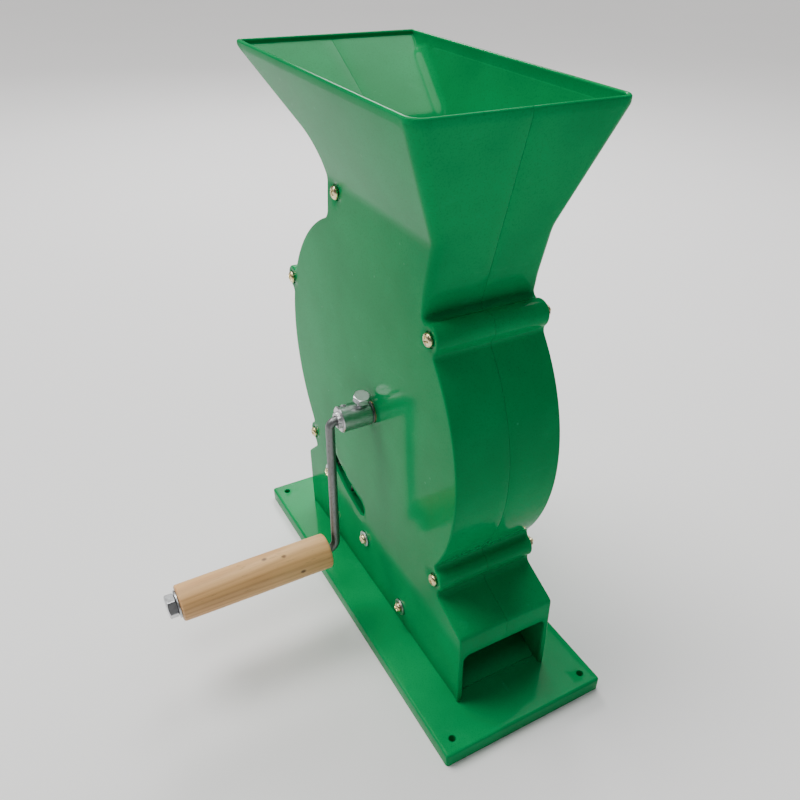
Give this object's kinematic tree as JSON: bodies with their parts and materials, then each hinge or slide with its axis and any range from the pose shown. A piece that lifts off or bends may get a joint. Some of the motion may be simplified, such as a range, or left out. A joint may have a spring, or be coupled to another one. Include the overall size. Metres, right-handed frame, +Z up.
{
  "type": "corn sheller",
  "caption": "Hand-cranked corn sheller: green moulded housing with hopper, drum and side outlet on a base plate, a toothed rotor over a slotted concave, and a crank with wooden grip.",
  "frame": {"origin": "middle of the base plate's underside", "axes": "+Z up, +X towards the outlet, -Y towards the crank"},
  "size_m": [0.36, 0.29, 0.436],
  "materials": {
    "green_plastic": "glossy moulded",
    "black_plastic": "satin moulded",
    "yellow_zinc": "yellow zinc-plated steel",
    "bright_zinc": "bright zinc-plated steel",
    "grey_steel": "galvanised, speckled",
    "cast_grey": "as cast",
    "bronze": "sintered bronze",
    "pale_wood": "turned, lightly sealed"
  },
  "bodies": {
    "machine": {"base_plate": "green_plastic", "housing_front": "green_plastic", "housing_back": "green_plastic", "concave": "black_plastic", "chute": "green_plastic", "foot_block": "black_plastic", "bush_front": "bronze", "bush_back": "bronze", "clamp_screw_neck": "yellow_zinc", "clamp_screw_upper_left": "yellow_zinc", "clamp_screw_upper_right": "yellow_zinc", "clamp_screw_lower_left": "yellow_zinc", "clamp_screw_lower_right": "yellow_zinc", "clamp_nut_neck": "yellow_zinc", "clamp_nut_upper_left": "yellow_zinc", "clamp_nut_upper_right": "yellow_zinc", "clamp_nut_lower_left": "yellow_zinc", "clamp_nut_lower_right": "yellow_zinc", "side_screw_front_upper": "yellow_zinc", "side_screw_front_middle": "yellow_zinc", "side_screw_front_lower": "yellow_zinc", "side_screw_front_block": "yellow_zinc", "side_screw_back_upper": "yellow_zinc", "side_screw_back_middle": "yellow_zinc", "side_screw_back_lower": "yellow_zinc", "side_screw_back_block": "yellow_zinc", "side_washer_front_upper": "bright_zinc", "side_washer_front_middle": "bright_zinc", "side_washer_front_lower": "bright_zinc", "side_washer_front_block": "bright_zinc", "side_washer_back_upper": "bright_zinc", "side_washer_back_middle": "bright_zinc", "side_washer_back_lower": "bright_zinc", "side_washer_back_block": "bright_zinc", "foot_screw_1": "bright_zinc", "foot_screw_2": "bright_zinc", "foot_screw_3": "bright_zinc", "foot_screw_4": "bright_zinc"},
    "crank": {"shaft": "grey_steel", "thrust_washer_front": "grey_steel", "thrust_washer_back": "grey_steel", "retaining_clip": "grey_steel", "rotor_hub": "cast_grey", "hub_set_screw": "grey_steel", "rotor_disc_front": "cast_grey", "rotor_disc_back": "cast_grey", "rasp_bar_1": "cast_grey", "rasp_bar_2": "cast_grey", "rasp_bar_3": "cast_grey", "rasp_bar_4": "cast_grey", "crank_collar": "bright_zinc", "collar_bolt": "bright_zinc", "collar_grub_screw": "grey_steel", "crank_rod": "grey_steel", "grip_washer": "bright_zinc", "grip_nut": "bright_zinc"},
    "handle": {"grip": "pale_wood"}
  },
  "joints": [
    {"name": "crank_turn", "type": "hinge", "parent": "machine", "child": "crank", "pos_m": [0.0028, -0.055, 0.2057], "axis": [0, -1, 0], "continuous": true},
    {"name": "grip_spin", "type": "hinge", "parent": "crank", "child": "handle", "pos_m": [0.0028, -0.147, 0.0817], "axis": [0, -1, 0], "continuous": true}
  ]
}
